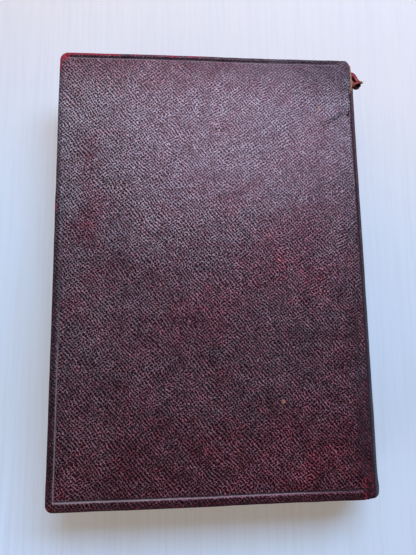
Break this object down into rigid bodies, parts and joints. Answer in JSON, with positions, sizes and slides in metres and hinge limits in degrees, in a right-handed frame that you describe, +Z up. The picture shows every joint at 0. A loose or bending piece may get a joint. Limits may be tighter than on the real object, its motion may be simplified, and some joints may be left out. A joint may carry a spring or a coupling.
{
  "type": "leather-bound book",
  "caption": "Antique full-leather case-bound book, closed, with a rounded spine, grained leather, a blind line frame on the covers and a torn spine head.",
  "frame": {"origin": "middle of the front cover's outer face, on which the closed book lies; the middle is that of the cover's flat panel, from fore-edge to joint", "axes": "+Z up, through the thickness from the front cover to the back cover; +Y towards the head of the book; +X towards the spine"},
  "size_m": [0.1398, 0.196, 0.03],
  "materials": {
    "leather": "diagonally grained dark burgundy goatskin, semi-matt with a worn sheen",
    "board": "raw grey-brown millboard",
    "card": "raw brown card",
    "leaves": "aged cream page edges, trimmed and slightly dusty",
    "endpaper": "aged cream laid paper, matt, foxed",
    "lining_paper": "brown paper with dried glue",
    "mull": "open-weave cotton, stiffened with glue",
    "cord": "twisted hemp cord, frayed and pasted at its ends",
    "headband_cloth": "striped red and cream cotton"
  },
  "bodies": {
    "book_block": {"text_block": "leaves", "sewing_cords": "cord", "mull_lining": "mull", "paper_lining": "lining_paper", "head_band": "headband_cloth", "tail_band": "headband_cloth", "front_flyleaf": "endpaper", "back_flyleaf": "endpaper", "spine_inlay": "card", "spine_leather": "leather", "front_joint_leather": "leather", "back_joint_leather": "leather"},
    "front_cover": {"front_board": "board", "front_cover_leather": "leather", "front_pastedown": "endpaper", "front_mull_flange": "mull", "front_cord_slips": "cord"},
    "back_cover": {"back_board": "board", "back_cover_leather": "leather", "back_pastedown": "endpaper", "back_mull_flange": "mull", "back_cord_slips": "cord"}
  },
  "joints": [
    {"name": "back_cover_hinge", "type": "hinge", "parent": "book_block", "child": "back_cover", "pos_m": [0.06645, 0, 0.03], "axis": [0, 1, 0], "range_deg": [0, 180], "deforming": ["back_joint_leather"]},
    {"name": "front_cover_hinge", "type": "hinge", "parent": "book_block", "child": "front_cover", "pos_m": [0.06645, 0, 0], "axis": [0, -1, 0], "range_deg": [0, 180], "deforming": ["front_joint_leather"]}
  ]
}
